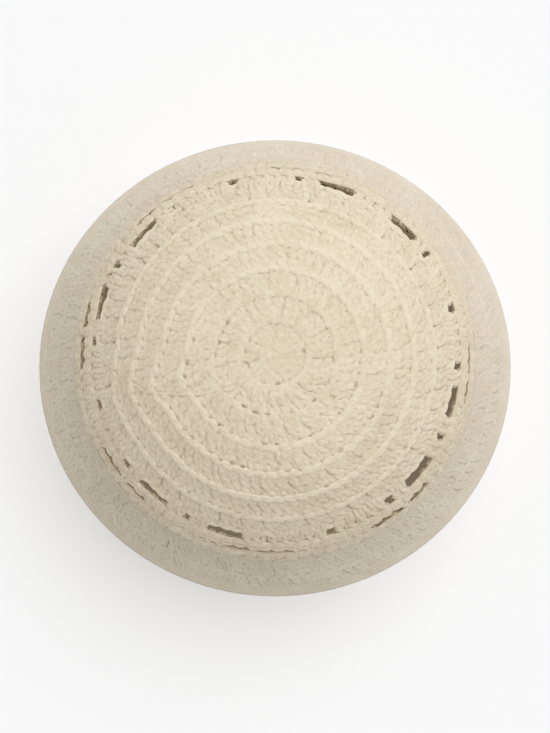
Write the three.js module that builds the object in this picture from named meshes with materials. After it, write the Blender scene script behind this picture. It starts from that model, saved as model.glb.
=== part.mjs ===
// Crochet bucket hat: a domed crown worked in rounds, an openwork lace band and a flared brim.
// Millimetres, +Z up. The origin is the middle of the rim, on the surface that the hat rests on.
import * as THREE from "three";

// Driving dimensions
const WALL = 3.6; // thickness of the crochet fabric
const JOIN_GAP = 0.3; // between two pieces
const RIDGE = 0.8; // how far the top of a round stands proud of its stitches
const RIDGE_SHARE = 0.22; // share of a round's height that the ridge slopes over
const RIM_OVAL = 0.016; // the rim is wider along X, and narrower along Y, by this share of its mean
const OVAL_POWER = 1.5; // how late the oval sets in from the crown down to the rim
const SIDES = 64; // facets round the crown and the brim

// Mid-wall section at the end of each round, from the crown's centre out to the rim.
const SECTIONS = [
  { end: "centre", radius: 0, height: 120 },
  { end: "crown_1", radius: 13.8, height: 119.6 },
  { end: "crown_2", radius: 26.7, height: 118.4 },
  { end: "crown_3", radius: 39.0, height: 115.8 },
  { end: "crown_4", radius: 51.1, height: 111.6 },
  { end: "crown_5", radius: 62.3, height: 105.2 },
  { end: "crown_6", radius: 72.0, height: 97.4 },
  { end: "crown_7", radius: 81.0, height: 88.0 },
  { end: "lace_1", radius: 88.4, height: 78.4 },
  { end: "lace_2", radius: 94.0, height: 67.4 },
  { end: "lace_3", radius: 95.3, height: 55.4 },
  { end: "lace_4", radius: 95.4, height: 43.4 },
  { end: "lace_5", radius: 95.0, height: 32.0 },
  { end: "brim_1", radius: 100.8, height: 21.2 },
  { end: "brim_2", radius: 109.2, height: 11.6 },
  { end: "brim_3", radius: 117.2, height: 3.4 },
  { end: "rim", radius: 120.4, height: 0 },
];
const ROUND = Object.fromEntries(SECTIONS.map(({ end }, i) => [end, i]));

// Lace: each repeat is a diamond, with a middle at these degrees round the hat.
const DIAMOND_MIDDLES = [57.3, 149.7, 241.4, 334.3];
const REPEATS = DIAMOND_MIDDLES.length;
const REPEAT_COLUMNS = 24; // stitch columns in a repeat
const COLUMNS = REPEATS * REPEAT_COLUMNS;
const POST_WIDTH = 0.9; // of a stitch column
const SLIT_WIDTH = 0.12; // narrow end of a three-cornered gap, in stitch columns
const LEAST_GAP = 0.25; // posts that leave less than this at both ends stand side by side
const GAP_FROM = 0.1; // where a gap starts, as a share of its round's height
const GAP_TO = 0.78; // where the chain that closes it starts
const GAP_BOW = 0.07; // how far the middle of a wide gap's edges bows out, as the same share
const STEP = 1.4; // longest straight stretch round the lace, in stitch columns

// Posts of half a repeat, from the middle of a diamond (column 0) to half way to the next (column 12):
// the column where a post starts, at its upper end, and the column where it ends.
const POSTS_TOP_ROUND = [
  { start: 0.75, end: 0.5 },
  { start: 1.55, end: 1.5 },
  { start: 5.1, end: 5.3 },
  { start: 5.75, end: 6.1 },
  { start: 7.65, end: 7.15 },
  { start: 8.5, end: 8.1 },
  { start: 9.4, end: 9.1 },
  { start: 10.3, end: 10.2 },
  { start: 11.2, end: 11.3 },
];
const POSTS_NEXT_ROUND = [
  { start: 0.45, end: 0.45 },
  { start: 1.35, end: 1.35 },
  { start: 2.25, end: 2.25 },
  { start: 3.15, end: 3.2 },
  { start: 5.85, end: 5.85 },
  { start: 9.2, end: 9.2 },
  { start: 10.1, end: 10.1 },
  { start: 10.9, end: 10.9 },
  { start: 11.6, end: 11.6 },
];
const POSTS_MIDDLE_ROUND = [
  { start: 0.5, end: 0.5 },
  { start: 1.45, end: 1.45 },
  { start: 2.4, end: 2.4 },
  { start: 3.35, end: 3.35 },
  { start: 4.3, end: 4.3 },
  { start: 7.0, end: 7.0 },
  { start: 10.6, end: 10.6 },
  { start: 11.5, end: 11.5 },
];
const upsideDown = (posts) => posts.map(({ start, end }) => ({ start: end, end: start }));
const LACE_ROUNDS = [
  { end: "lace_1", posts: POSTS_TOP_ROUND },
  { end: "lace_2", posts: POSTS_NEXT_ROUND },
  { end: "lace_3", posts: POSTS_MIDDLE_ROUND },
  { end: "lace_4", posts: upsideDown(POSTS_NEXT_ROUND) },
  { end: "lace_5", posts: upsideDown(POSTS_TOP_ROUND) },
];

const YARN = { color: 0xded3b9, roughness: 0.9, metalness: 0 };

const midWall = new THREE.SplineCurve(
  SECTIONS.map(({ radius, height }) => new THREE.Vector2(radius, height)),
);

// Point of the section, by a count of rounds from the centre and a distance out of the mid-wall.
function sectionPoint(rounds, out) {
  const share = rounds / (SECTIONS.length - 1);
  const point = midWall.getPoint(share);
  const along = midWall.getTangent(share);
  const radius = rounds === 0 ? 0 : point.x - along.y * out;
  return new THREE.Vector2(radius, point.y + along.x * out);
}

// Outer face from the end of one round to the end of another: a ridge at each end, a furrow between.
function outerFace(from, to) {
  const face = [sectionPoint(from, WALL / 2 + (from === ROUND.centre ? 0 : RIDGE))];
  for (let round = from; round < to; round++) {
    face.push(
      sectionPoint(round + RIDGE_SHARE, WALL / 2),
      sectionPoint(round + 1 - RIDGE_SHARE, WALL / 2),
      sectionPoint(round + 1, WALL / 2 + RIDGE),
    );
  }
  return face;
}

function innerFace(from, to) {
  const face = [];
  for (let round = from; round <= to; round++) face.push(sectionPoint(round, -WALL / 2));
  return face;
}

// Moves one end of a face back along the face by half of the gap between two pieces.
function setBack(face, end, next) {
  face.at(end).add(face.at(next).clone().sub(face.at(end)).setLength(JOIN_GAP / 2));
}

const setBackStart = (face) => setBack(face, 0, 1);
const setBackEnd = (face) => setBack(face, -1, -2);

// The hat is round at its crown and a little oval at its rim.
function ovalAt(height) {
  const depth = 1 - Math.max(height, 0) / SECTIONS[ROUND.centre].height;
  return RIM_OVAL * Math.pow(Math.max(depth, 0), OVAL_POWER);
}

function makeOval(geometry) {
  const place = geometry.getAttribute("position");
  for (let i = 0; i < place.count; i++) {
    const oval = ovalAt(place.getZ(i));
    place.setX(i, place.getX(i) * (1 + oval));
    place.setY(i, place.getY(i) * (1 - oval));
  }
  return geometry;
}

// Turns an outer and an inner face about the hat's axis into one closed wall.
function turnedWall(outer, inner) {
  const profile = [...outer, ...inner.toReversed()];
  if (outer[0].x > 0) profile.push(outer[0]);
  return makeOval(new THREE.LatheGeometry(profile.toReversed(), SIDES).rotateX(Math.PI / 2));
}

function crown() {
  const outer = outerFace(ROUND.centre, ROUND.crown_7);
  const inner = innerFace(ROUND.centre, ROUND.crown_7);
  [outer, inner].forEach(setBackEnd);
  return turnedWall(outer, inner);
}

// Turn round the hat, in radians, of a stitch column of the lace.
function angleAt(column) {
  const repeats = column / REPEAT_COLUMNS;
  const before = Math.floor(repeats);
  const middle = (repeat) => {
    const turns = Math.floor(repeat / REPEATS);
    return DIAMOND_MIDDLES[repeat - turns * REPEATS] + turns * 360;
  };
  const degrees = THREE.MathUtils.lerp(middle(before), middle(before + 1), repeats - before);
  return THREE.MathUtils.degToRad(degrees);
}

// Point of the lace wall, by stitch column, rounds from the crown's centre and distance out.
function lacePoint(column, rounds, out) {
  const { x: radius, y: height } = sectionPoint(rounds, out);
  const angle = angleAt(column);
  const oval = ovalAt(height);
  return new THREE.Vector3(
    radius * Math.cos(angle) * (1 + oval),
    radius * Math.sin(angle) * (1 - oval),
    height,
  );
}

// All posts of a lace round: half a repeat and its mirror image, carried round the hat.
function postsAround(half) {
  const posts = [];
  for (let repeat = 0; repeat < REPEATS; repeat++) {
    const from = repeat * REPEAT_COLUMNS;
    const to = from + REPEAT_COLUMNS;
    for (const { start, end } of half) {
      posts.push({ start: from + start, end: from + end }, { start: to - start, end: to - end });
    }
  }
  return posts.sort((a, b) => a.start - b.start);
}

// Side columns of the space between two posts, at one end of them.
function spaceBetween(left, right) {
  const middle = (left + right) / 2;
  const half = Math.max(right - left - POST_WIDTH, SLIT_WIDTH) / 2;
  return { left: middle - half, right: middle + half, width: right - left - POST_WIDTH };
}

function gapsBetween(posts) {
  const first = posts[0];
  const closed = [...posts, { start: first.start + COLUMNS, end: first.end + COLUMNS }];
  return posts
    .map((post, i) => ({
      start: spaceBetween(post.start, closed[i + 1].start),
      end: spaceBetween(post.end, closed[i + 1].end),
    }))
    .filter(({ start, end }) => Math.max(start.width, end.width) > LEAST_GAP);
}

// Cells of a lace round, in order round the hat: open ones in the gaps, closed ones in the posts
// between them. A cell holds the columns of its left side, and its right side is the next one's left.
function laceCells(gaps) {
  const cells = [];
  const addSpan = (open, start, end) => {
    const steps = Math.ceil((start.right - start.left) / STEP);
    for (let i = 0; i < steps; i++) {
      cells.push({
        open,
        inside: open && i > 0,
        start: THREE.MathUtils.lerp(start.left, start.right, i / steps),
        end: THREE.MathUtils.lerp(end.left, end.right, i / steps),
      });
    }
  };
  gaps.forEach((gap, i) => {
    const next = gaps[(i + 1) % gaps.length];
    const turn = i + 1 < gaps.length ? 0 : COLUMNS;
    addSpan(true, gap.start, gap.end);
    addSpan(
      false,
      { left: gap.start.right, right: next.start.left + turn },
      { left: gap.end.right, right: next.end.left + turn },
    );
  });
  return startAtFirstColumn(cells);
}

// Turns a list of cells so that it starts at the first one past column 0.
function startAtFirstColumn(cells) {
  const past = cells.findIndex(({ start }) => start >= COLUMNS);
  if (past > 0) {
    const moved = cells.splice(past);
    for (const cell of moved) {
      cell.start -= COLUMNS;
      cell.end -= COLUMNS;
    }
    cells.unshift(...moved);
  }
  return cells;
}

// The lace wall as a mesh: rings of point pairs, one outside and one inside, joined by faces.
class LaceMesh {
  points = [];
  index = [];

  ring(columns, roundsAt) {
    const base = this.points.length;
    columns.forEach((column, i) => {
      this.points.push(lacePoint(column, roundsAt(i), WALL / 2), lacePoint(column, roundsAt(i), -WALL / 2));
    });
    const count = columns.length;
    return {
      count,
      outer: (i) => base + 2 * (i % count),
      inner: (i) => base + 2 * (i % count) + 1,
      column: (i) => columns[i % count] + (i < count ? 0 : COLUMNS),
    };
  }

  quad(a, b, c, d) {
    this.index.push(a, b, c, a, c, d);
  }

  // Outer and inner faces of one closed cell between two rings that have the same cells.
  cell(upper, lower, i) {
    this.quad(upper.outer(i), lower.outer(i), lower.outer(i + 1), upper.outer(i + 1));
    this.quad(upper.inner(i + 1), lower.inner(i + 1), lower.inner(i), upper.inner(i));
  }

  // Outer and inner faces of a chain between two rings that have different columns.
  chain(upper, lower) {
    let i = 0;
    let j = 0;
    while (i < upper.count || j < lower.count) {
      const lowerNext = i === upper.count || (j < lower.count && lower.column(j + 1) <= upper.column(i + 1));
      const [ring, at] = lowerNext ? [lower, ++j] : [upper, ++i];
      const [from, to] = lowerNext ? [i, j - 1] : [i - 1, j];
      this.index.push(upper.outer(from), lower.outer(to), ring.outer(at));
      this.index.push(upper.inner(from), ring.inner(at), lower.inner(to));
    }
  }

  // Face across the wall's thickness, along a ring or down the side of a gap.
  edgeUp(ring, i) {
    this.quad(ring.outer(i), ring.outer(i + 1), ring.inner(i + 1), ring.inner(i));
  }

  edgeDown(ring, i) {
    this.quad(ring.outer(i + 1), ring.outer(i), ring.inner(i), ring.inner(i + 1));
  }

  side(from, to, i) {
    this.quad(from.outer(i), to.outer(i), to.inner(i), from.inner(i));
  }

  geometry() {
    return new THREE.BufferGeometry().setFromPoints(this.points).setIndex(this.index);
  }
}

// One lace round: its posts, and the edges of its gaps. Returns its upper and lower rings.
function laceRound(mesh, cells, round) {
  const edge = (columns, share, bow) =>
    mesh.ring(columns, (i) => round + share + (cells[i].inside ? bow : 0));
  const upper = edge(cells.map(({ start }) => start), GAP_FROM, -GAP_BOW);
  const lower = edge(cells.map(({ end }) => end), GAP_TO, GAP_BOW);
  cells.forEach(({ open }, i) => {
    const openBefore = cells.at(i - 1).open;
    if (open) {
      mesh.edgeDown(upper, i);
      mesh.edgeUp(lower, i);
    } else {
      mesh.cell(upper, lower, i);
    }
    if (open && !openBefore) mesh.side(upper, lower, i);
    if (!open && openBefore) mesh.side(lower, upper, i);
  });
  return { upper, lower };
}

function laceBand() {
  const mesh = new LaceMesh();
  const even = Array.from({ length: SIDES }, (_, i) => (i * COLUMNS) / SIDES);
  const roundHeight = sectionPoint(ROUND.crown_7, 0).distanceTo(sectionPoint(ROUND.lace_1, 0));
  const setBackRounds = JOIN_GAP / 2 / roundHeight;
  const top = mesh.ring(even, () => ROUND.crown_7 + setBackRounds);
  const bottom = mesh.ring(even, () => ROUND.lace_5 - setBackRounds);
  let above = top;
  for (const { end, posts } of LACE_ROUNDS) {
    const { upper, lower } = laceRound(mesh, laceCells(gapsBetween(postsAround(posts))), ROUND[end] - 1);
    mesh.chain(above, upper);
    above = lower;
  }
  mesh.chain(above, bottom);
  even.forEach((_, i) => {
    mesh.edgeUp(top, i);
    mesh.edgeDown(bottom, i);
  });
  return mesh.geometry();
}

// The brim ends in a flat edge that lies on the surface under the hat.
function brim() {
  const outer = outerFace(ROUND.lace_5, ROUND.rim);
  const inner = innerFace(ROUND.lace_5, ROUND.rim);
  [outer, inner].forEach(setBackStart);
  const { radius, height } = SECTIONS[ROUND.rim];
  outer.at(-1).set(radius + WALL / 2, height);
  inner.at(-1).set(radius - WALL / 2, height);
  return turnedWall(outer, inner);
}

function piece(name, geometry) {
  const mesh = new THREE.Mesh(geometry, new THREE.MeshStandardMaterial(YARN));
  mesh.name = name;
  return mesh;
}

const hat = new THREE.Group();
hat.name = "crochet_bucket_hat";
hat.add(piece("crown", crown()), piece("lace_band", laceBand()), piece("brim", brim()));

export default hat;
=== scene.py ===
import math
from collections import namedtuple

import bpy
import numpy as np
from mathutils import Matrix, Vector


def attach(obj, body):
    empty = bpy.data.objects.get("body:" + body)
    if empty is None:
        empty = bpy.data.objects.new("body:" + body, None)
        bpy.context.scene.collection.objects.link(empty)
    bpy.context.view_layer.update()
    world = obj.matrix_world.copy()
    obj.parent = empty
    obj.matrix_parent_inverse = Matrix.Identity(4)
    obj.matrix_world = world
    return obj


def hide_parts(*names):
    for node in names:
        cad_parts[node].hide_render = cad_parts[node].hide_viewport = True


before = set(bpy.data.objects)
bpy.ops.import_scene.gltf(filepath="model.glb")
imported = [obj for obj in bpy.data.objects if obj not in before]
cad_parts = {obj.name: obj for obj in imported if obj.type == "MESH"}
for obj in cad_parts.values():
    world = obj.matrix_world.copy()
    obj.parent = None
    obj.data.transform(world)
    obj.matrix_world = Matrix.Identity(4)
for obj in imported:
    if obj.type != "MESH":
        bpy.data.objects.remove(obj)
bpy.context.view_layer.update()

METRE = 0.001  # sizes below are in millimetres

# Driving dimensions
YARN = 1.25  # half the width of a strand that lies free
PRESSED = 1.9  # half the width of a strand that the stitches beside it press flat
FLAT = 0.5  # thickness of a pressed strand over its width
ROPE = 2.1  # half the width of the loops along the end of a round
ROPE_FLAT = 0.55
ROPE_SOFTNESS = 0.75  # of the round's own
TUBE_SIDES = 6
RIM_OVAL = 0.016  # the rim is wider along X, and narrower along Y, by this share of its mean
OVAL_POWER = 1.5
SEED = 7

# Mid-wall section at the end of each round, from the crown's centre out to the rim.
Section = namedtuple("Section", "end radius height")
SECTIONS = (
    Section("centre", 0.0, 120.0),
    Section("crown_1", 13.8, 119.6),
    Section("crown_2", 26.7, 118.4),
    Section("crown_3", 39.0, 115.8),
    Section("crown_4", 51.1, 111.6),
    Section("crown_5", 62.3, 105.2),
    Section("crown_6", 72.0, 97.4),
    Section("crown_7", 81.0, 88.0),
    Section("lace_1", 88.4, 78.4),
    Section("lace_2", 94.0, 67.4),
    Section("lace_3", 95.3, 55.4),
    Section("lace_4", 95.4, 43.4),
    Section("lace_5", 95.0, 32.0),
    Section("brim_1", 100.8, 21.2),
    Section("brim_2", 109.2, 11.6),
    Section("brim_3", 117.2, 3.4),
    Section("rim", 120.4, 0.0),
)
SECTION_POINTS = np.array([(section.radius, section.height) for section in SECTIONS])
ROUND = {section.end: number for number, section in enumerate(SECTIONS)}
TOP = SECTIONS[0].height
INNERMOST = 0.05  # rounds from the centre to the strands that come closest

# Closed rounds of double crochet. Each row gives, after the name of the round,
# how many stitches it has,
# how many stitches of the round before they are worked into,
# how strongly they stand out of the wall,
# how far the stitches of one base lean together at their start,
# how much they narrow at their ends,
# how deep they dive there,
# how proud the rope of loops along the end of the round stands,
# how much the rope's tone is raised, as painted light on the ridge of the round,
# how much the fuzz of the yarn softens the light on the stitches,
# and how dark the painted shade in the pits between them is.
Closed = namedtuple("Closed", "end stitches bases relief pairing pinch dive rope pale softness dark")
CROWN_ROUNDS = (
    Closed("crown_1", 16, 16, 0.6, 0.0, 0.8, 0.4, 0.40, 0.0, 2.0, 0.85),
    Closed("crown_2", 32, 16, 0.9, 0.4, 0.8, 0.5, 0.45, 0.0, 1.6, 0.95),
    Closed("crown_3", 48, 32, 0.9, 0.4, 0.8, 0.5, 0.70, 1.6, 1.6, 0.95),
    Closed("crown_4", 64, 48, 0.9, 0.4, 0.8, 0.5, 0.80, 2.2, 1.6, 0.8),
    Closed("crown_5", 80, 64, 0.9, 0.4, 0.8, 0.15, 1.00, 3.0, 1.6, 0.6),
    Closed("crown_6", 96, 80, 0.9, 0.4, 0.8, 0.3, 0.95, 2.5, 1.6, 0.7),
    Closed("crown_7", 96, 48, 0.9, 0.6, 0.9, 0.0, 0.90, 2.5, 1.6, 0.9),
)
BRIM_ROUNDS = (
    Closed("brim_1", 112, 112, 0.55, 0.0, 0.1, 0.0, 0.50, 0.3, 4.5, 0.0),
    Closed("brim_2", 120, 120, 0.55, 0.0, 0.1, 0.0, 0.50, 0.3, 4.5, 0.0),
    Closed("brim_3", 128, 128, 0.55, 0.0, 0.1, 0.0, 0.50, 0.3, 4.5, 0.0),
)
WRAPPED_ROUNDS = CROWN_ROUNDS[1:]  # the others show no wraps
DIVE_START = 0.86  # of the height of a round
DIVE_MOST = 2  # times the dive of the round
START_LOOSE = 0.04  # of a stitch, as a standard deviation
END_LOOSE = 0.05

# Edging: short stitches on the last round of the brim.
EDGING_STITCHES = 128
EDGING_EARLY = 0.4  # of a round before the end of the brim's last round
EDGING_RELIEF = 0.5
EDGING_PINCH = 0.5
FLOOR_GAP = 0.05  # below the lowest strands

# Cords that run all round the hat, under the ends of the stitches and along the rim: up in heights of a
# round, out of the mid-wall in millimetres, and half their width.
Cord = namedtuple("Cord", "up out thick", defaults=(YARN,))
CLOSED_CORDS = (
    Cord(1.10, 0.0),
    Cord(1.02, -1.1),
)
LACE_CORDS = (
    Cord(0.94, 1.0),
    Cord(0.94, -0.7),
)
EDGING_CORDS = (
    Cord(0.55, 0.45, 1.6),
    Cord(0.80, 0.30, 1.8),
    Cord(1.00, 0.00, 2.2),
    Cord(0.70, -0.80, 1.6),
)
RIPPLE_UP = 0.01  # of a round, at each stitch
RIPPLE_OUT = 0.1

# The rounds of the crown lie unevenly. They end a little early, lean to one side, and creep outwards at the
# seam where they are closed: millimetres along the wall at the end of each round.
Uneven = namedtuple("Uneven", "end early lean creep")
UNEVEN = (
    Uneven("centre", 0.0, 0.0, 0.0),
    Uneven("crown_1", 0.0, 0.7, 0.9),
    Uneven("crown_2", 0.0, 1.2, 1.4),
    Uneven("crown_3", 0.3, 1.7, 3.5),
    Uneven("crown_4", 0.6, 2.1, 5.7),
    Uneven("crown_5", 0.9, 2.1, 6.1),
    Uneven("crown_6", 0.7, 2.4, 4.0),
    Uneven("crown_7", 0.0, 0.6, 0.0),
)
CROWN_ROUND_LENGTH = 12.8
LEAN_TURN = math.radians(270)
SEAM = math.radians(195)  # of the round that starts at the end of SEAM_ROUND
SEAM_ROUND = ROUND["crown_4"]
SEAM_DRIFT = math.radians(6.5)  # from the start of one round to the start of the next

# The creep is largest at the seam, and each round winds in from there: degrees past the seam, and share.
Creep = namedtuple("Creep", "past share")
CREEP = (
    Creep(0, 1.0),
    Creep(14, 0.24),
    Creep(342, -0.26),
    Creep(360, 1.0),
)

# The posts of the crown slant most on one side, where their ends are this share of a stitch ahead.
SLANT = 0.5
SLANT_TURN = math.radians(295)

# The wall of the crown swells out under the end of each round and sinks in after it.
SWELL = 0.25
SWELL_TOP = 0.10  # of a round past its end
SWELL_LOW = 0.6  # of a round past the top of the swell
SWELL_START = 0.6  # rounds from the centre
CLIMB_STEP = 0.01  # rounds over which the slope of the swell is measured, to each side

# Painted shade: dark grooves between the posts of the crown, and darker pits between their ends, under the
# rope of loops, are painted into the colour of the yarn where shade falls between stitches.
# Lengths are in widths of a stitch.
PIT_UP = 0.95  # of the height of a round
PIT_RADIUS = 0.28  # at most, along the wall
PIT_STRETCH = 0.7  # radius along the wall over radius round the hat
PIT_STRAY = 0.25  # along the wall
PIT_RAGGED = 0.35
PIT_EDGE = 0.2  # over which a pit darkens
PIT_MISSING = 0.1  # share of the stitches with no pit
PIT_DARK = 0.55
GROOVE_HALF = 0.13
GROOVE_DARK = 0.33
GROOVE_LENGTH = 2.6
GROOVE_FADE = 1.0  # over which the groove begins
GROOVE_DASH = 1.15  # from one dark part of a groove to the next
# colour of the painted shade in the pits and grooves between stitches
PAINTED_PIT_SHADE_COLOUR = (0.21, 0.15, 0.075, 1)
ROUND_CELLS = 1000  # sets the pits of one round apart from those of the next

# Lace: each repeat is a diamond, with a middle at these degrees round the hat.
DIAMOND_MIDDLES = (57.3, 149.7, 241.4, 334.3)
REPEAT_COLUMNS = 24
COLUMNS = REPEAT_COLUMNS * len(DIAMOND_MIDDLES)
POST_WIDTH = 0.9  # of a stitch column
LACE_ROUND_HEIGHT = 12
LACE_YARN = 1.45
LACE_CHAIN = 1.8
LACE_FLAT = 0.7
LACE_WRAP = 0.9
LACE_RELIEF = 1.0
SIDE_BY_SIDE = 1.2  # columns at most from one post to the next with no gap between them
LACE_SOFTNESS = 1.3

# The chain below the large gaps of the top round hangs slack: degrees round the hat of each gap, how far
# the chain hangs below its round, and how much lower it is at the clockwise end.
Slack = namedtuple("Slack", "turn low tilt")
SLACK_CHAIN = (
    Slack(45, 2.2, 2.5),
    Slack(70, 0.8, 3.5),
    Slack(137, -0.6, 1.0),
    Slack(162, 0.3, 6.0),
    Slack(229, -1.1, 0.0),
    Slack(253, -0.2, 0.0),
    Slack(322, 2.2, 0.0),
    Slack(347, 0.5, 1.0),
)
SLACK_HALF = 5  # degrees from the middle of a gap to where the tilt ends
SLACK_REACH = 0.7  # rounds above and below a chain that move with it

# The next chain is pulled up, and hangs at one place only: degrees round the hat, and how far up it lies.
Lift = namedtuple("Lift", "turn up")
NEXT_CHAIN = (
    Lift(8, 2.8),
    Lift(45, 3.2),
    Lift(85, 5.0),
    Lift(125, 3.8),
    Lift(160, 2.8),
    Lift(195, 3.2),
    Lift(220, 4.6),
    Lift(255, 3.2),
    Lift(285, 3.2),
    Lift(314, -4.0),
    Lift(335, 3.2),
)

# Posts of half a repeat, from the middle of a diamond (column 0) to half way to the next (column 12):
# the column where a post starts, at its upper end, and the column where it ends.
Post = namedtuple("Post", "start end")
POSTS_TOP_ROUND = (
    Post(0.75, 0.5),
    Post(1.55, 1.5),
    Post(5.1, 5.3),
    Post(5.75, 6.1),
    Post(7.65, 7.15),
    Post(8.5, 8.1),
    Post(9.4, 9.1),
    Post(10.3, 10.2),
    Post(11.2, 11.3),
)
POSTS_NEXT_ROUND = (
    Post(0.45, 0.45),
    Post(1.35, 1.35),
    Post(2.25, 2.25),
    Post(3.15, 3.2),
    Post(5.85, 5.85),
    Post(9.2, 9.2),
    Post(10.1, 10.1),
    Post(10.9, 10.9),
    Post(11.6, 11.6),
)
POSTS_MIDDLE_ROUND = (
    Post(0.5, 0.5),
    Post(1.45, 1.45),
    Post(2.4, 2.4),
    Post(3.35, 3.35),
    Post(4.3, 4.3),
    Post(7.0, 7.0),
    Post(10.6, 10.6),
    Post(11.5, 11.5),
)

# Strands that close small gaps of the top round, or half of one: columns from the middle of the first
# diamond.
CLOSING_STRANDS = (-0.22, 0.22, -7.0, 7.0, 17.08, 17.52, 54.48, 54.92)


def upside_down(half_repeat):
    return tuple(Post(post.end, post.start) for post in half_repeat)


Lace = namedtuple("Lace", "end half_repeat closing", defaults=((),))
LACE_ROUNDS = (
    Lace("lace_1", POSTS_TOP_ROUND, CLOSING_STRANDS),
    Lace("lace_2", POSTS_NEXT_ROUND),
    Lace("lace_3", POSTS_MIDDLE_ROUND),
    Lace("lace_4", upside_down(POSTS_NEXT_ROUND)),
    Lace("lace_5", upside_down(POSTS_TOP_ROUND)),
)

# Bends of the strands of a stitch: side in stitch widths, up in heights of the round, out of the
# mid-wall in millimetres, and width as a share of the strand's own.
Bend = namedtuple("Bend", "side up out wide", defaults=(1.0,))
FRONT_STRAND = (
    Bend(-0.06, 0.04, -0.3, 0.55),
    Bend(-0.12, 0.12, 0.45, 0.65),
    Bend(-0.20, 0.22, 0.8, 0.8),
    Bend(-0.26, 0.36, 0.85, 0.95),
    Bend(-0.14, 0.50, 0.85),
    Bend(0.06, 0.63, 0.9),
    Bend(0.21, 0.77, 0.85),
    Bend(0.20, 0.88, 0.85, 0.9),
    Bend(0.14, 0.98, 0.9, 0.65),
    Bend(0.08, 1.07, 0.5, 0.5),
)
CROSSED_STRAND = (
    Bend(0.06, 0.04, -0.3, 0.55),
    Bend(0.12, 0.12, 0.45, 0.65),
    Bend(0.20, 0.22, 0.8, 0.8),
    Bend(0.26, 0.36, 0.8, 0.95),
    Bend(0.14, 0.50, 0.5),
    Bend(-0.06, 0.63, 0.1),
    Bend(-0.21, 0.77, 0.6),
    Bend(-0.20, 0.88, 0.8, 0.9),
    Bend(-0.14, 0.98, 0.9, 0.65),
    Bend(-0.08, 1.07, 0.5, 0.5),
)
BACK_STRAND = (
    Bend(0.0, 0.14, -0.4),
    Bend(0.0, 0.30, 0.0),
    Bend(0.0, 0.55, 0.1),
    Bend(0.0, 0.80, 0.0),
    Bend(0.0, 0.92, -0.7),
)
BETWEEN_STRAND = (
    Bend(0.5, 0.12, -0.9, 0.7),
    Bend(0.5, 0.26, -0.1, 0.9),
    Bend(0.5, 0.42, 0.55),
    Bend(0.5, 0.62, 0.6),
    Bend(0.5, 0.84, 0.65),
    Bend(0.5, 1.00, 0.35, 0.9),
)
WRAP = (
    Bend(-0.42, 0.50, 0.3),
    Bend(-0.24, 0.55, 1.1),
    Bend(0.06, 0.64, 1.35),
    Bend(0.34, 0.73, 1.0),
    Bend(0.42, 0.75, 0.2),
    Bend(0.22, 0.70, -1.0),
    Bend(-0.06, 0.62, -1.2),
    Bend(-0.34, 0.52, -0.9),
)
TOP_LOOP = (
    Bend(-0.74, 1.04, -0.1, 0.75),
    Bend(-0.44, 1.06, 0.7, 0.92),
    Bend(-0.10, 1.10, 1.0),
    Bend(0.20, 1.13, 0.97),
    Bend(0.48, 1.16, 0.66, 0.92),
    Bend(0.76, 1.18, -0.1, 0.75),
)
TURNING_LINK = (
    Bend(-0.20, 0.06, 1.0),
    Bend(-0.24, 0.18, 1.4),
    Bend(-0.18, 0.32, 1.2),
    Bend(0.0, 0.37, 0.8),
    Bend(0.18, 0.32, 1.2),
    Bend(0.24, 0.18, 1.4),
    Bend(0.20, 0.06, 1.0),
    Bend(0.0, 0.00, 0.6),
)
TURNING_STARTS = (0.1, 0.36, 0.62)
LACE_FRONT = (
    Bend(-0.10, -0.06, -1.6),
    Bend(-0.18, -0.16, -0.6),
    Bend(-0.22, -0.16, 0.7),
    Bend(-0.24, -0.02, 1.5),
    Bend(-0.26, 0.16, 1.0),
    Bend(-0.20, 0.38, 0.85),
    Bend(0.02, 0.60, 0.9),
    Bend(0.20, 0.78, 0.8),
    Bend(0.20, 0.90, 0.5),
    Bend(0.14, 1.00, -0.5),
)
LACE_CROSSED = (
    Bend(0.10, -0.06, -1.6),
    Bend(0.18, -0.16, -0.6),
    Bend(0.23, -0.16, 0.7),
    Bend(0.25, -0.02, 1.5),
    Bend(0.26, 0.16, 1.0),
    Bend(0.20, 0.38, 0.6),
    Bend(0.00, 0.60, 0.1),
    Bend(-0.20, 0.78, 0.6),
    Bend(-0.22, 0.90, 0.5),
    Bend(-0.16, 1.00, -0.5),
)
CHAIN_LINK = (
    Bend(-0.62, -0.06, -0.3),
    Bend(-0.20, 0.06, 1.0),
    Bend(0.25, 0.09, 1.4),
    Bend(0.56, 0.02, 0.6),
    Bend(0.66, -0.06, -0.5),
    Bend(0.56, -0.14, 0.6),
    Bend(0.25, -0.21, 1.4),
    Bend(-0.20, -0.18, 1.0),
)

# Points along one strand of each kind, and of a cord for each stitch.
POST_STEPS = 14
FILL_STEPS = 7
WRAP_STEPS = 12
LOOP_STEPS = 9
LINK_STEPS = 14
LACE_POST_STEPS = 15
LACE_BACK_STEPS = 5
CORD_STEPS = 3

# How far strands lie beside their chart, as a standard deviation.
Loose = namedtuple("Loose", "side up out")
LOOSE = Loose(0.04, 0.014, 0.09)
FILL_LOOSE = Loose(0.05, 0.014, 0.25)
TWIST_START = 20  # length of yarn by which the twist of a strand is ahead, at most


# Directions and curves

TINY = 1e-9
STEEP = 0.9  # the frames of a strand that rises more than this start from X and not from Z
ALONG_X = (1.0, 0.0, 0.0)
ALONG_Z = (0.0, 0.0, 1.0)


def unit(vectors):
    return vectors / np.maximum(np.linalg.norm(vectors, axis=-1, keepdims=True), TINY)


def square_to(vectors, ahead):
    return unit(vectors - (vectors * ahead).sum(-1, keepdims=True) * ahead)


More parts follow.
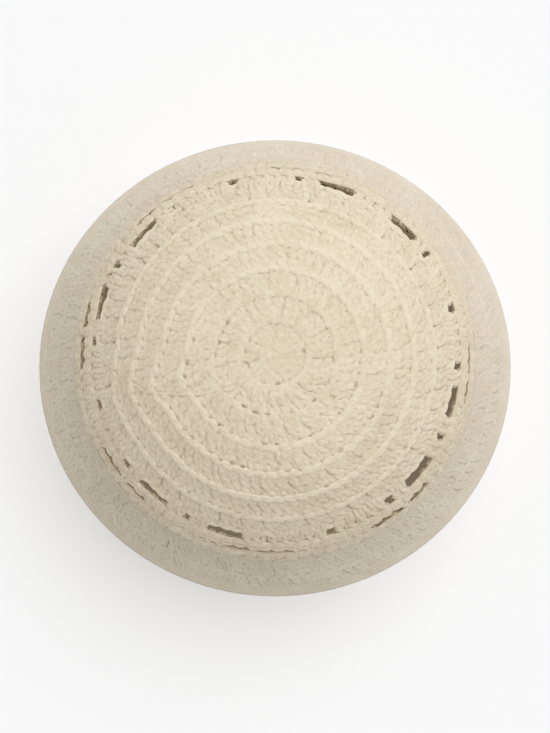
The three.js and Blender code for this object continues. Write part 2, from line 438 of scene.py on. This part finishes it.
def spline(points, place, closed=False):
    """Point and slope of a smooth curve through points, at places counted in points."""
    last = len(points) - 1
    step = np.floor(place).astype(int)
    if not closed:
        step = np.clip(step, 0, last - 1)
    share = (place - step)[..., None]

    def at(offset):
        index = step + offset
        return points[index % len(points) if closed else np.clip(index, 0, last)]

    before = at(-1)
    start = at(0)
    end = at(1)
    after = at(2)
    leave = (end - before) / 2
    arrive = (after - start) / 2
    cubic = 2 * start - 2 * end + leave + arrive
    square = 3 * end - 3 * start - 2 * leave - arrive
    point = ((cubic * share + square) * share + leave) * share + start
    slope = (3 * cubic * share + 2 * square) * share + leave
    return point, slope


# The wall of the hat

def uneven(turn, rounds):
    """Rounds that the stitches of the crown lie further out than even ones would."""
    ends = [ROUND[row.end] for row in UNEVEN]
    early = np.interp(rounds, ends, [row.early for row in UNEVEN], right=0)
    lean = np.interp(rounds, ends, [row.lean for row in UNEVEN], right=0)
    creep = np.interp(rounds, ends, [row.creep for row in UNEVEN], right=0)
    past = np.degrees(turn - SEAM) % 360
    share = np.interp(past, [row.past for row in CREEP], [row.share for row in CREEP])
    return (lean * np.cos(turn - LEAN_TURN) + creep * share - early) / CROWN_ROUND_LENGTH


def swell(rounds):
    """How far the wall of the crown swells out at a count of rounds from the centre."""
    past = (rounds - SWELL_TOP) % 1
    phase = np.interp(past, (0, SWELL_LOW, 1), (0, 0.5, 1))
    fade = np.clip(rounds - SWELL_START, 0, 1) * np.clip(ROUND["crown_7"] - rounds, 0, 1)
    return SWELL * np.cos(2 * math.pi * phase) * fade


def slack(turn, rounds):
    """Rounds that the upper two chains of the lace, and what is worked on them, hang down."""
    ends = []
    for gap in SLACK_CHAIN:
        ends.append((gap.turn - SLACK_HALF, gap.low + gap.tilt / 2))
        ends.append((gap.turn + SLACK_HALF, gap.low - gap.tilt / 2))
    degrees = np.degrees(turn) % 360
    drop = np.interp(degrees, *zip(*ends), period=360)
    lift = np.interp(degrees, *zip(*NEXT_CHAIN), period=360)
    first = np.clip(1 - np.abs(rounds - ROUND["lace_1"]) / SLACK_REACH, 0, 1)
    second = np.clip(1 - np.abs(rounds - ROUND["lace_2"]) / SLACK_REACH, 0, 1)
    return (drop * first - lift * second) / LACE_ROUND_HEIGHT


# Points along strands, the directions out of the wall there, the width as a share of the strand's own, and
# where the pits of painted shade are.
Path = namedtuple("Path", "points outward wide pit", defaults=(None,))


def wall_path(turn, rounds, out, wide):
    """Path by turn round the hat, count of rounds from the centre and distance out of the mid-wall."""
    out = out + swell(rounds)
    climb = (swell(rounds + CLIMB_STEP) - swell(rounds - CLIMB_STEP)) / (2 * CLIMB_STEP)
    rounds = rounds + uneven(turn, rounds) + slack(turn, rounds)
    rounds = np.clip(rounds, INNERMOST, ROUND["rim"])
    middle, slope = spline(SECTION_POINTS, rounds)
    length = np.linalg.norm(slope, axis=-1, keepdims=True)
    along = slope / length
    square = np.stack([-along[..., 1], along[..., 0]], -1)
    radius, height = np.moveaxis(middle + square * out[..., None], -1, 0)
    oval = RIM_OVAL * (1 - np.clip(height / TOP, 0, 1)) ** OVAL_POWER
    x = radius * np.cos(turn) * (1 + oval)
    y = radius * np.sin(turn) * (1 - oval)
    facing = unit(square - climb[..., None] / length * along)
    outward = np.stack([facing[..., 0] * np.cos(turn), facing[..., 0] * np.sin(turn), facing[..., 1]], -1)
    return Path(np.stack([x, y, height], -1), outward, np.broadcast_to(wide, turn.shape))


# Strands of yarn

def frames(points, closed):
    """Two directions across each strand, carried along it with no twist."""
    if closed:
        ahead = unit(np.roll(points, -1, axis=1) - np.roll(points, 1, axis=1))
    else:
        ahead = unit(np.gradient(points, axis=1))
    steps = points.shape[1]
    across = np.empty_like(points)
    steep = np.abs(ahead[:, :1, 2:]) > STEEP
    across[:, 0] = square_to(np.where(steep, ALONG_X, ALONG_Z), ahead[:, :1])[:, 0]
    for i in range(1, steps):
        across[:, i] = square_to(across[:, i - 1], ahead[:, i])
    if closed:
        home = square_to(across[:, -1], ahead[:, 0])
        turned = (np.cross(across[:, 0], home) * ahead[:, 0]).sum(-1)
        angle = np.arctan2(turned, (across[:, 0] * home).sum(-1))
        back = -angle[:, None, None] * (np.arange(steps) / steps)[None, :, None]
        across = np.cos(back) * across + np.sin(back) * np.cross(ahead, across)
    return across, np.cross(ahead, across)


def tube(path, thick, flat, closed):
    """Places of the sides of strands, from their middles."""
    across, beside = frames(path.points, closed)
    around = 2 * np.pi * np.arange(TUBE_SIDES) / TUBE_SIDES
    spread = np.cos(around)[:, None] * across[:, :, None] + np.sin(around)[:, None] * beside[:, :, None]
    outward = path.outward[:, :, None]
    press = (1 - flat) * (spread * outward).sum(-1, keepdims=True) * outward
    return thick * path.wide[:, :, None, None] * (spread - press)


def reach(points, rng):
    """Length of yarn up to each point of a strand, and back to the first, from where its twist starts."""
    lengths = np.linalg.norm(np.diff(points, axis=1, append=points[:, :1]), axis=-1)
    starts = np.zeros((len(points), 1))
    reached = np.concatenate([starts, np.cumsum(lengths, axis=1)], axis=1)
    return reached + rng.uniform(0, TWIST_START, starts.shape)


# Where a strand is by the pits of painted shade: stitches round the hat, heights of a round along the wall,
# the width of a stitch in radians, and how dark the painted shade in the pits is.
Pit = namedtuple("Pit", "beside up width dark")


def pit_places(path, offsets):
    """For points off the middle of strands: stitches round the hat, stitch widths past the pits, and how dark
    their painted shade is.
    """
    out = path.points[..., :2]
    radius = np.linalg.norm(out, axis=-1)
    around = np.stack([-out[..., 1], out[..., 0], np.zeros(radius.shape)], -1) / radius[..., None]
    down = np.cross(around, path.outward)
    width = (radius * path.pit.width)[..., None]
    beside = path.pit.beside[..., None] + (offsets * around[:, :, None]).sum(-1) / width
    along = (path.pit.up - PIT_UP)[..., None] * CROWN_ROUND_LENGTH + (offsets * down[:, :, None]).sum(-1)
    return np.stack([beside, along / width, np.full(beside.shape, path.pit.dark)], -1)


def add_attribute(mesh, name, kind, field, values):
    layer = mesh.attributes.new(name, kind, "POINT")
    layer.data.foreach_set(field, np.concatenate(values).ravel().astype(np.float32))


class Yarn:
    """Strands of yarn that become one mesh."""

    def __init__(self, softness):
        self.softness = softness
        self.points = []
        self.faces = []
        self.maps = []
        self.shades = []
        self.outwards = []
        self.pits = []
        self.count = 0

    def add(self, path, thick, rng, flat=FLAT, closed=False, softness=None, shade=0.0):
        """Strands along a path, with half their width and their thickness over it."""
        strands, steps = path.points.shape[:2]
        offsets = tube(path, thick, flat, closed)
        index = self.count + np.arange(strands * steps * TUBE_SIDES).reshape(strands, steps, TUBE_SIDES)
        reached = reach(path.points, rng)
        self.points.append((path.points[:, :, None] + offsets).reshape(-1, 3))
        self.add_sides(index, reached, closed)
        if not closed:
            self.add_end(index[:, 0, ::-1], reached[:, 0])
            self.add_end(index[:, -1], reached[:, steps - 1])
        # Each strand's tone differs at random about shade, which on the ropes holds painted light.
        shade = rng.normal(shade, 1, (strands, 1))
        self.shades.append(np.repeat(shade, steps * TUBE_SIDES, axis=1).ravel())
        softness = self.softness if softness is None else softness
        self.outwards.append(softness * np.repeat(path.outward.reshape(-1, 3), TUBE_SIDES, axis=0))
        pits = np.zeros(offsets.shape) if path.pit is None else pit_places(path, offsets)
        self.pits.append(pits.reshape(-1, 3))
        self.count += index.size

    def add_sides(self, index, reached, closed):
        """Faces along strands, with a map of the length of yarn and the share of the way round it."""
        steps = index.shape[1]
        last = steps if closed else steps - 1
        here = index[:, :last]
        there = index[:, (np.arange(last) + 1) % steps]
        side = np.arange(TUBE_SIDES)
        next_side = (side + 1) % TUBE_SIDES
        quads = [here, here[:, :, next_side], there[:, :, next_side], there]
        begin = np.repeat(reached[:, :last, None], TUBE_SIDES, axis=2)
        finish = np.repeat(reached[:, 1:last + 1, None], TUBE_SIDES, axis=2)
        low = np.broadcast_to(side / TUBE_SIDES, begin.shape)
        high = np.broadcast_to((side + 1) / TUBE_SIDES, begin.shape)
        corners = [(begin, low), (begin, high), (finish, high), (finish, low)]
        quad_map = [np.stack(corner, -1) for corner in corners]
        self.faces.append(np.stack(quads, -1).reshape(-1, 4))
        self.maps.append(np.stack(quad_map, -2).reshape(-1, 2))

    def add_end(self, faces, reached):
        """Faces across the ends of strands."""
        self.faces.append(faces)
        self.maps.append(np.repeat(reached, 2 * TUBE_SIDES).reshape(-1, 2))

    def build(self, name):
        points = np.concatenate(self.points) * METRE
        sizes = np.concatenate([np.full(len(face), face.shape[1]) for face in self.faces])
        corners = np.concatenate([face.ravel() for face in self.faces])
        starts = np.concatenate([[0], np.cumsum(sizes)[:-1]])
        mesh = bpy.data.meshes.new(name)
        mesh.vertices.add(len(points))
        mesh.vertices.foreach_set("co", points.ravel().astype(np.float32))
        mesh.loops.add(len(corners))
        mesh.loops.foreach_set("vertex_index", corners.astype(np.int32))
        mesh.polygons.add(len(sizes))
        mesh.polygons.foreach_set("loop_start", starts.astype(np.int32))
        mesh.update(calc_edges=True)
        mesh.shade_smooth()
        layer = mesh.uv_layers.new(name="yarn")
        layer.uv.foreach_set("vector", np.concatenate(self.maps).ravel().astype(np.float32))
        add_attribute(mesh, "shade", "FLOAT", "value", self.shades)
        add_attribute(mesh, "outward", "FLOAT_VECTOR", "vector", self.outwards)
        # places for the painted shade in the pits between stitches
        add_attribute(mesh, "pit", "FLOAT_VECTOR", "vector", self.pits)
        piece = bpy.data.objects.new(name, mesh)
        bpy.context.scene.collection.objects.link(piece)
        return piece


# Stitches

# Stitches of one round: the round that they start on, the turns where they start and end, their width in
# radians, and how they stand out, narrow, dive and take painted shade in their pits, as for a closed round.
Stitches = namedtuple("Stitches", "first start end width relief pinch dive dark", defaults=(1.0, 0.0, 0.0))


def strand_path(stitches, bends, steps, rng, above=0.0, closed=False, loose=LOOSE):
    """The same strand in every stitch, each a little different."""
    if closed:
        place = np.arange(steps) * len(bends) / steps
    else:
        place = np.linspace(0, len(bends) - 1, steps)
    chart = spline(np.array(bends), place, closed)[0]
    count = len(stitches.start)
    side = chart[:, 0] + rng.normal(0, loose.side, (count, 1))
    up = chart[:, 1] + above + rng.normal(0, loose.up, (count, 1))
    out = stitches.relief * (chart[:, 2] + rng.normal(0, loose.out, (count, 1)))
    dive = stitches.dive * rng.uniform(0, DIVE_MOST, (count, 1))
    out = out - dive * np.clip((up - DIVE_START) / (1 - DIVE_START), 0, 1)
    turn = stitches.start[:, None] + (stitches.end - stitches.start)[:, None] * np.clip(up, 0, 1)
    wide = 1 - stitches.pinch * (1 - chart[:, 3])
    path = wall_path(turn + side * stitches.width, stitches.first + up, out, wide)
    # Places for the painted shade in the pits between stitches.
    if stitches.dark:
        cells = np.arange(count)[:, None] + 0.5 + ROUND_CELLS * stitches.first
        path = path._replace(pit=Pit(cells + side, up, stitches.width, stitches.dark))
    return path


def posts(yarn, stitches, rng):
    """Two crossed strands up the front of each stitch."""
    for bends in (FRONT_STRAND, CROSSED_STRAND):
        yarn.add(strand_path(stitches, bends, POST_STEPS, rng), PRESSED, rng)


def fill(yarn, stitches, rng):
    """A strand behind each stitch and one between it and the next."""
    for bends in (BACK_STRAND, BETWEEN_STRAND):
        yarn.add(strand_path(stitches, bends, FILL_STEPS, rng, loose=FILL_LOOSE), PRESSED, rng)


def wraps(yarn, stitches, rng, thick, flat):
    """A slanting turn of yarn round each stitch."""
    yarn.add(strand_path(stitches, WRAP, WRAP_STEPS, rng, closed=True), thick, rng, flat, closed=True)


def cords(yarn, first, rows, count, rng):
    """Strands all round the hat, with a ripple at each of count stitches."""
    turn = 2 * np.pi * np.arange(count * CORD_STEPS)[None] / (count * CORD_STEPS)
    wave = np.cos(turn * count)
    for cord in rows:
        path = wall_path(turn, first + cord.up + RIPPLE_UP * wave, cord.out + RIPPLE_OUT * wave, 1.0)
        yarn.add(path, cord.thick, rng, closed=True)


def turning_chain(yarn, first_stitch, rng):
    """The short chain at the seam, from which a round starts."""
    for above in TURNING_STARTS:
        path = strand_path(first_stitch, TURNING_LINK, LINK_STEPS, rng, above=above, closed=True)
        yarn.add(path, YARN, rng, closed=True)


def closed_round(row):
    """Stitches of a closed round, which start on the stitches of the round before."""
    index = ROUND[row.end] - 1
    rng = np.random.default_rng(SEED + index)
    count = row.stitches
    width = 2 * np.pi / count
    seam = SEAM + SEAM_DRIFT * (SEAM_ROUND - index)
    even = seam + width * (np.arange(count) + 0.5)
    slant = SLANT * (0.5 + 0.5 * np.cos(even - SLANT_TURN))
    end = even + (slant + rng.normal(0, END_LOOSE, count)) * width
    base = np.floor(np.arange(count) * row.bases / count)
    shared = seam + 2 * np.pi * (base + 0.5) / row.bases
    start = even + (shared - even) * row.pairing + rng.normal(0, START_LOOSE, count) * width
    stitches = Stitches(index, start, end, width, row.relief, row.pinch, row.dive, row.dark)
    first_stitch = stitches._replace(start=start[:1], end=start[:1] - SEAM_DRIFT, dive=0.0, dark=0.0)
    loops = stitches._replace(start=end, relief=row.rope, dive=0.0, dark=0.0)
    yarn = Yarn(row.softness)
    posts(yarn, stitches, rng)
    fill(yarn, stitches._replace(dive=0.0), rng)
    turning_chain(yarn, first_stitch, rng)
    if row in WRAPPED_ROUNDS:
        wraps(yarn, stitches, rng, YARN, FLAT)
    softness = ROPE_SOFTNESS * row.softness
    loop_path = strand_path(loops, TOP_LOOP, LOOP_STEPS, rng)
    # The rope's tone is raised as painted light on the ridge along the end of the round.
    yarn.add(loop_path, ROPE, rng, ROPE_FLAT, softness=softness, shade=row.pale)
    cords(yarn, index, CLOSED_CORDS, count, rng)
    return yarn.build(row.end.replace("_", "_round_"))


def column_turn(column):
    """Turn round the hat, in radians, of stitch columns of the lace."""
    middles = np.array(DIAMOND_MIDDLES + (DIAMOND_MIDDLES[0] + 360,))
    repeats = column / REPEAT_COLUMNS
    turns = np.floor(repeats / len(DIAMOND_MIDDLES))
    within = repeats - turns * len(DIAMOND_MIDDLES)
    return np.radians(np.interp(within, np.arange(len(middles)), middles) + 360 * turns)


def both_sides(columns):
    """Columns of half a repeat, on both sides of the middle of every diamond."""
    repeats = np.arange(len(DIAMOND_MIDDLES))[:, None] * REPEAT_COLUMNS
    return np.concatenate([repeats + columns, repeats - columns], axis=1).ravel()


def between_posts(start, end):
    """Columns of the starts and ends half way between posts that stand side by side."""
    order = np.argsort(start)
    start = start[order]
    end = end[order]
    next_start = np.append(start[1:], start[0] + COLUMNS)
    next_end = np.append(end[1:], end[0] + COLUMNS)
    close = np.maximum(next_start - start, next_end - end) < SIDE_BY_SIDE
    return (start + next_start)[close] / 2, (end + next_end)[close] / 2


def lace_strands(yarn, stitches, bends, steps, rng):
    yarn.add(strand_path(stitches, bends, steps, rng), LACE_YARN, rng, LACE_FLAT)


def lace_round(row):
    """Posts of an open round of the lace, and the chain that they end on."""
    index = ROUND[row.end] - 1
    rng = np.random.default_rng(SEED + index)
    half = np.array(row.half_repeat)
    start = both_sides(half[:, 0])
    end = both_sides(half[:, 1])
    width = POST_WIDTH * 2 * np.pi / COLUMNS
    stitches = Stitches(index, column_turn(start), column_turn(end), width, LACE_RELIEF)
    yarn = Yarn(LACE_SOFTNESS)
    for bends in (LACE_FRONT, LACE_CROSSED):
        lace_strands(yarn, stitches, bends, LACE_POST_STEPS, rng)
    lace_strands(yarn, stitches, BACK_STRAND, LACE_BACK_STEPS, rng)
    wraps(yarn, stitches, rng, LACE_WRAP, LACE_FLAT)
    start, end = between_posts(start, end)
    joined = stitches._replace(start=column_turn(start), end=column_turn(end))
    lace_strands(yarn, joined, BACK_STRAND, LACE_BACK_STEPS, rng)
    if row.closing:
        turn = column_turn(np.array(row.closing))
        closing = stitches._replace(start=turn, end=turn)
        lace_strands(yarn, closing, BACK_STRAND, LACE_BACK_STEPS, rng)
    turn = column_turn(np.arange(COLUMNS) + 0.5)
    links = Stitches(index + 1, turn, turn, 2 * np.pi / COLUMNS, LACE_RELIEF)
    link_path = strand_path(links, CHAIN_LINK, LINK_STEPS, rng, closed=True)
    yarn.add(link_path, LACE_CHAIN, rng, LACE_FLAT, closed=True)
    cords(yarn, index, LACE_CORDS, COLUMNS, rng)
    return yarn.build(row.end.replace("_", "_round_"))


def edging():
    """Short stitches along the rim, and the cords that lie on the surface."""
    index = ROUND["brim_3"]
    rng = np.random.default_rng(SEED + index)
    width = 2 * np.pi / EDGING_STITCHES
    turn = SEAM + width * (np.arange(EDGING_STITCHES) + 0.5)
    yarn = Yarn(BRIM_ROUNDS[-1].softness)
    stitches = Stitches(index - EDGING_EARLY, turn, turn, width, EDGING_RELIEF, EDGING_PINCH)
    posts(yarn, stitches, rng)
    fill(yarn, stitches, rng)
    cords(yarn, index, EDGING_CORDS, EDGING_STITCHES, rng)
    for points in yarn.points:
        points[:, 2] = np.maximum(points[:, 2], FLOOR_GAP)
    return yarn.build("brim_edging")


# Cotton yarn

# Looks of the yarn: its darkest and palest colours, and how fuzzy it is. The brim is worked tight and smooth.
Look = namedtuple("Look", "name low high fuzz")
FUZZY_LOOK = Look("cream_cotton_yarn", (0.671, 0.571, 0.414, 1), (0.772, 0.687, 0.523, 1), 0.85)
SMOOTH_LOOK = Look("cream_cotton_yarn_smooth", (0.647, 0.559, 0.432, 1), (0.737, 0.663, 0.535, 1), 0.3)

# Plies twist round a strand.
PLIES = 3
PLY_TURNS = 0.22  # for each millimetre of yarn

# Noises, by scale and detail.
Grain = namedtuple("Grain", "scale detail")
FIBRES = Grain(2600, 4)
TUFTS = Grain(500, 1)
RAGGED = Grain(420, 2)
PATCHES = Grain(55, 3)

# The tone of the yarn, higher where it is paler, from its start, and how much each cause adds. Tufts add as
# much as the fuzz.
TONE_START = 0.2
TONE_PATCHES = 0.6
# random for each strand, and raised on the ropes as painted light
TONE_SHADE = 0.06
TONE_FIBRES = 0.15
# painted shade in the grooves between the plies
TONE_PLY_GROOVE_SHADE = 0.05
DARKEST_TONE = 0.25
PALEST_TONE = 0.75

# How high the surface is, by each cause.
HEIGHT_TWIST = 0.4
HEIGHT_FIBRES = 0.6
HEIGHT_TUFTS = 2.5
BUMP_DEPTH = 0.25
BUMP_STRENGTH = 0.5  # of the fuzz

SMOOTHEST = 0.82
ROUGHEST = 0.98
SHEEN = 0.15
SHEEN_ROUGH = 0.5
GLOSS = 0.2


class Nodes:
    """Short calls for the nodes of a material."""

    def __init__(self, name):
        self.material = bpy.data.materials.new(name)
        self.material.use_nodes = True
        self.tree = self.material.node_tree
        self.shader = self.tree.nodes["Principled BSDF"]

    def make(self, kind, inputs=(), **settings):
        node = self.tree.nodes.new("ShaderNode" + kind)
        for key, value in settings.items():
            setattr(node, key, value)
        for socket, value in dict(inputs).items():
            if isinstance(value, bpy.types.NodeSocket):
                self.tree.links.new(value, node.inputs[socket])
            else:
                node.inputs[socket].default_value = value
        return node

    def math(self, operation, first, second=0.0, third=0.0):
        return self.make("Math", {0: first, 1: second, 2: third}, operation=operation).outputs[0]

    def change(self, value, start, end, low, high):
        """From low to high as a value goes from start to end."""
        return self.make("MapRange", {0: value, 1: start, 2: end, 3: low, 4: high}).outputs[0]

    def mix(self, share, first, second):
        """A colour from first to second, by the sockets that a Mix node has for colours."""
        return self.make("Mix", {0: share, 6: first, 7: second}, data_type="RGBA").outputs[2]

    def noise(self, grain, place):
        inputs = {"Vector": place, "Scale": grain.scale, "Detail": grain.detail}
        return self.make("TexNoise", inputs).outputs["Fac"]

    def centred(self, noise):
        """A noise from 0 to 1, moved to lie about 0."""
        return self.math("SUBTRACT", noise, 0.5)

    def attribute(self, name, output):
        return self.make("Attribute", attribute_name=name).outputs[output]

    def join(self, output, socket):
        self.tree.links.new(output, self.shader.inputs[socket])

    def set(self, socket, value):
        self.shader.inputs[socket].default_value = value


def painted_hole_shade(nodes, side, along, chance, place):
    """Painted shade: how dark the colour of the yarn is made in the pits between the ends of posts, where
    shade falls.
    """
    stray = nodes.make("SeparateXYZ", {0: chance["Color"]}).outputs[1]
    stray = nodes.math("MULTIPLY", nodes.centred(stray), PIT_STRAY)
    side = nodes.math("MULTIPLY", side, PIT_STRETCH)
    along = nodes.math("ADD", along, stray)
    offset = nodes.make("CombineXYZ", {0: side, 1: along}).outputs[0]
    distance = nodes.make("VectorMath", {0: offset}, operation="LENGTH").outputs["Value"]
    ragged = nodes.centred(nodes.noise(RAGGED, place))
    distance = nodes.math("MULTIPLY_ADD", ragged, PIT_RAGGED, distance)
    radius = nodes.change(chance["Value"], PIT_MISSING, 1.0, 0.0, PIT_RADIUS)
    inside = nodes.math("SUBTRACT", radius, distance)
    return nodes.change(inside, 0.0, PIT_EDGE, 0.0, PIT_DARK)


def painted_groove_shade(nodes, side, along, chance):
    """Painted shade: how dark the colour of the yarn is made in the broken grooves between posts, where shade
    falls.
    """
    groove = nodes.change(nodes.math("ABSOLUTE", side), 0.0, GROOVE_HALF, GROOVE_DARK, 0.0)
    fade = nodes.change(along, -GROOVE_LENGTH, GROOVE_FADE - GROOVE_LENGTH, 0.0, 1.0)
    groove = nodes.math("MULTIPLY", groove, fade)
    dashes = nodes.math("ADD", nodes.math("DIVIDE", along, GROOVE_DASH), chance["Value"])
    dashes = nodes.math("COSINE", nodes.math("MULTIPLY", dashes, 2 * math.pi))
    return nodes.math("MULTIPLY", groove, nodes.math("MAXIMUM", dashes, 0.0))


def painted_pit_shade(nodes, place):
    """Painted shade in the grooves and pits between stitches, no two of which are the same."""
    pit = nodes.attribute("pit", "Vector")
    beside, along, strength = nodes.make("SeparateXYZ", {0: pit}).outputs
    cell = nodes.math("ROUND", beside)
    side = nodes.math("SUBTRACT", beside, cell)
    chance = nodes.make("TexWhiteNoise", {"W": cell}, noise_dimensions="1D").outputs
    hole = painted_hole_shade(nodes, side, along, chance, place)
    groove = painted_groove_shade(nodes, side, along, chance)
    return nodes.math("MULTIPLY", nodes.math("MAXIMUM", hole, groove), strength)


def ply_twist(nodes):
    """A wave over the plies, from -1 to 1."""
    yarn_map = nodes.make("UVMap", uv_map="yarn").outputs[0]
    length, around = nodes.make("SeparateXYZ", {0: yarn_map}).outputs[:2]
    plies = nodes.math("MULTIPLY", around, PLIES)
    plies = nodes.math("MULTIPLY_ADD", length, PLY_TURNS, plies)
    return nodes.math("SINE", nodes.math("MULTIPLY", plies, 2 * math.pi))


def soft_normal(nodes):
    """The way that the surface faces, turned out of the wall as far as its fuzz softens the light."""
    normal = nodes.make("NewGeometry").outputs["Normal"]
    outward = nodes.attribute("outward", "Vector")
    facing = nodes.make("VectorMath", {0: normal, 1: outward}, operation="DOT_PRODUCT").outputs["Value"]
    lift = nodes.make("VectorMath", {0: outward, "Scale": facing}, operation="SCALE").outputs[0]
    soft = nodes.make("VectorMath", {0: normal, 1: lift}, operation="ADD").outputs[0]
    return nodes.make("VectorMath", {0: soft}, operation="NORMALIZE").outputs[0]


def cotton(look):
    nodes = Nodes(look.name)
    place = nodes.make("TexCoord").outputs["Object"]
    twist = ply_twist(nodes)
    fibres = nodes.noise(FIBRES, place)
    patches = nodes.noise(PATCHES, place)
    tufts = nodes.noise(TUFTS, place)

    tone = nodes.math("MULTIPLY_ADD", patches, TONE_PATCHES, TONE_START)
    tone = nodes.math("MULTIPLY_ADD", nodes.attribute("shade", "Fac"), TONE_SHADE, tone)
    tone = nodes.math("MULTIPLY_ADD", nodes.centred(fibres), TONE_FIBRES, tone)
    tone = nodes.math("MULTIPLY_ADD", nodes.centred(tufts), look.fuzz, tone)
    # Painted shade: the grooves between the plies are made darker.
    tone = nodes.math("MULTIPLY_ADD", twist, TONE_PLY_GROOVE_SHADE, tone)
    ramp = nodes.make("ValToRGB", {0: tone})
    low, high = ramp.color_ramp.elements
    low.position = DARKEST_TONE
    low.color = look.low
    high.position = PALEST_TONE
    high.color = look.high
    # Painted shade: the pits and grooves between stitches darken the base colour.
    colour = nodes.mix(painted_pit_shade(nodes, place), ramp.outputs["Color"], PAINTED_PIT_SHADE_COLOUR)
    nodes.join(colour, "Base Color")

    height = nodes.math("MULTIPLY", twist, HEIGHT_TWIST)
    height = nodes.math("MULTIPLY_ADD", fibres, HEIGHT_FIBRES, height)
    height = nodes.math("MULTIPLY_ADD", tufts, HEIGHT_TUFTS, height)
    bumps = {
        "Height": height,
        "Strength": BUMP_STRENGTH * look.fuzz,
        "Distance": BUMP_DEPTH * METRE,
        "Normal": soft_normal(nodes),
    }
    nodes.join(nodes.make("Bump", bumps).outputs[0], "Normal")

    nodes.join(nodes.change(fibres, 0.0, 1.0, SMOOTHEST, ROUGHEST), "Roughness")
    nodes.set("Sheen Weight", SHEEN)
    nodes.set("Sheen Roughness", SHEEN_ROUGH)
    nodes.set("Specular IOR Level", GLOSS)
    return nodes.material


# Pieces

def fit_out(piece, node, material):
    piece.data.materials.append(material)
    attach(piece, "root")
    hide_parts(node)


def make_hat():
    fuzzy = cotton(FUZZY_LOOK)
    smooth = cotton(SMOOTH_LOOK)
    for row in CROWN_ROUNDS:
        fit_out(closed_round(row), "crown", fuzzy)
    for row in LACE_ROUNDS:
        fit_out(lace_round(row), "lace_band", fuzzy)
    for row in BRIM_ROUNDS:
        fit_out(closed_round(row), "brim", smooth)
    fit_out(edging(), "brim", smooth)


# Floor, light and camera

FLOOR_HALF = 20000
FLOOR_COLOUR = (0.9, 0.895, 0.886, 1)
FLOOR_ROUGH = 0.9
CAMERA_DISTANCE = 780
CAMERA_TURN = math.radians(-90)
CAMERA_RISE = math.radians(87)
CAMERA_NEAREST = 10
FOCAL_PIXELS = 1481
LONG_SIDE_PIXELS = 733
SENSOR = 36
WORLD_COLOUR = (1.0, 0.98, 0.93, 1)
WORLD_STRENGTH = 0.47
KEY_TURN = math.radians(53)
KEY_RISE = math.radians(65)
KEY_SPREAD = math.radians(70)
KEY_STRENGTH = 2.09
KEY_COLOUR = (0.972, 1.0, 1.065)
GLOW_WATTS = 0.033  # the little light that comes through the yarn into the hat
GLOW_COLOUR = (1.0, 0.88, 0.72)
GLOW_RADIUS = 30
GLOW_HEIGHT = 50


def make_floor():
    half = FLOOR_HALF * METRE
    corners = [(-half, -half, 0), (half, -half, 0), (half, half, 0), (-half, half, 0)]
    mesh = bpy.data.meshes.new("floor")
    mesh.from_pydata(corners, [], [(0, 1, 2, 3)])
    floor = bpy.data.objects.new("floor", mesh)
    nodes = Nodes("pale_floor")
    nodes.set("Base Color", FLOOR_COLOUR)
    nodes.set("Roughness", FLOOR_ROUGH)
    mesh.materials.append(nodes.material)
    bpy.context.scene.collection.objects.link(floor)


def direction(turn, rise):
    return Vector((math.cos(turn) * math.cos(rise), math.sin(turn) * math.cos(rise), math.sin(rise)))


def make_world():
    world = bpy.data.worlds.new("studio")
    world.use_nodes = True
    background = world.node_tree.nodes["Background"]
    background.inputs["Color"].default_value = WORLD_COLOUR
    background.inputs["Strength"].default_value = WORLD_STRENGTH
    bpy.context.scene.world = world


def make_key():
    key = bpy.data.lights.new("key", "SUN")
    key.energy = KEY_STRENGTH
    key.angle = KEY_SPREAD
    key.color = KEY_COLOUR
    lamp = bpy.data.objects.new("key", key)
    lamp.rotation_euler = direction(KEY_TURN, KEY_RISE).to_track_quat("Z", "Y").to_euler()
    bpy.context.scene.collection.objects.link(lamp)


def make_glow():
    glow = bpy.data.lights.new("glow_through_yarn", "POINT")
    glow.energy = GLOW_WATTS
    glow.color = GLOW_COLOUR
    glow.shadow_soft_size = GLOW_RADIUS * METRE
    inside = bpy.data.objects.new("glow_through_yarn", glow)
    inside.location = (0, 0, GLOW_HEIGHT * METRE)
    inside.visible_camera = False
    bpy.context.scene.collection.objects.link(inside)


def make_camera():
    scene = bpy.context.scene
    camera = bpy.data.cameras.new("camera")
    camera.sensor_width = SENSOR
    camera.lens = FOCAL_PIXELS * SENSOR / LONG_SIDE_PIXELS
    camera.clip_start = CAMERA_NEAREST * METRE
    view = bpy.data.objects.new("camera", camera)
    away = direction(CAMERA_TURN, CAMERA_RISE)
    view.location = away * CAMERA_DISTANCE * METRE
    view.rotation_euler = away.to_track_quat("Z", "Y").to_euler()
    scene.collection.objects.link(view)
    scene.camera = view
    scene.view_settings.view_transform = "Standard"


make_hat()
make_floor()
make_world()
make_key()
make_glow()
make_camera()
